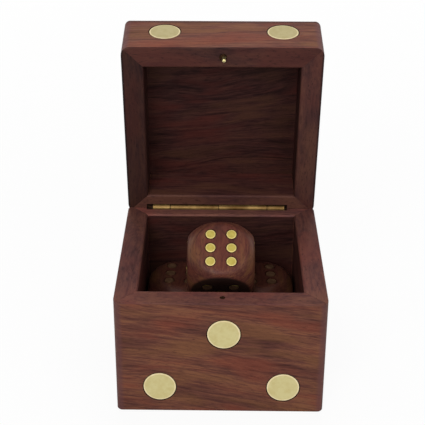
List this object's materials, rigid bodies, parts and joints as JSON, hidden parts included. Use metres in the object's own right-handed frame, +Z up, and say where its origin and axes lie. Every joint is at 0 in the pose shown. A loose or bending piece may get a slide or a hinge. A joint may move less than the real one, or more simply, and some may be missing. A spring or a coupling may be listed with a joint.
{
  "type": "dice box with hinged lid",
  "caption": "Small mitred wooden box in the form of a die, with flush brass pips, a brass-hinged lid held open by its bevelled back edge, and loose wooden dice inside.",
  "frame": {"origin": "middle of the base's underside, on the surface that the box stands on", "axes": "+X to the right seen from the front, +Y from the front to the hinged back, +Z up; the lid stands open at rest"},
  "size_m": [0.076, 0.097, 0.1221],
  "materials": {
    "wall_wood": "satin",
    "board_wood": "satin",
    "dice_wood": "satin",
    "brass": "polished"
  },
  "bodies": {
    "base": {"base_front_wall": "wall_wood", "base_back_wall": "wall_wood", "base_left_wall": "wall_wood", "base_right_wall": "wall_wood", "base_bottom_board": "board_wood", "base_front_pips": "brass", "base_back_pip": "brass", "base_left_pips": "brass", "base_right_pips": "brass", "base_under_pip": "brass", "hinge_base_leaf": "brass", "hinge_pin": "brass"},
    "lid": {"lid_front_wall": "wall_wood", "lid_back_wall": "wall_wood", "lid_left_wall": "wall_wood", "lid_right_wall": "wall_wood", "lid_top_board": "board_wood", "lid_front_pips": "brass", "lid_back_pip": "brass", "lid_left_pips": "brass", "lid_right_pip": "brass", "lid_top_pips": "brass", "hinge_lid_leaf": "brass", "lid_peg": "brass"},
    "die_front_left": {"die_front_left": "dice_wood", "die_front_left_pips": "brass"},
    "die_front_right": {"die_front_right": "dice_wood", "die_front_right_pips": "brass"},
    "die_back_left": {"die_back_left": "dice_wood", "die_back_left_pips": "brass"},
    "die_back_right": {"die_back_right": "dice_wood", "die_back_right_pips": "brass"},
    "die_top": {"die_top": "dice_wood", "die_top_pips": "brass"}
  },
  "joints": [
    {"name": "lid_hinge", "type": "hinge", "parent": "base", "child": "lid", "pos_m": [0, 0.0351, 0.0471], "axis": [1, 0, 0], "range_deg": [0, 82]},
    {"name": "top_die_lift", "type": "slide", "parent": "base", "child": "die_top", "axis": [0, 0, 1], "range_m": [0, 0.0875]},
    {"name": "front_left_die_lift", "type": "slide", "parent": "base", "child": "die_front_left", "axis": [0, 0, 1], "range_m": [0, 0.07]},
    {"name": "front_right_die_lift", "type": "slide", "parent": "base", "child": "die_front_right", "axis": [0, 0, 1], "range_m": [0, 0.07]},
    {"name": "back_left_die_lift", "type": "slide", "parent": "base", "child": "die_back_left", "axis": [0, 0, 1], "range_m": [0, 0.07]},
    {"name": "back_right_die_lift", "type": "slide", "parent": "base", "child": "die_back_right", "axis": [0, 0, 1], "range_m": [0, 0.07]}
  ],
  "couplings": [
    {"joint": "front_left_die_lift", "follows": "top_die_lift", "ratio": 0.8},
    {"joint": "front_right_die_lift", "follows": "top_die_lift", "ratio": 0.8},
    {"joint": "back_left_die_lift", "follows": "top_die_lift", "ratio": 0.8},
    {"joint": "back_right_die_lift", "follows": "top_die_lift", "ratio": 0.8}
  ]
}
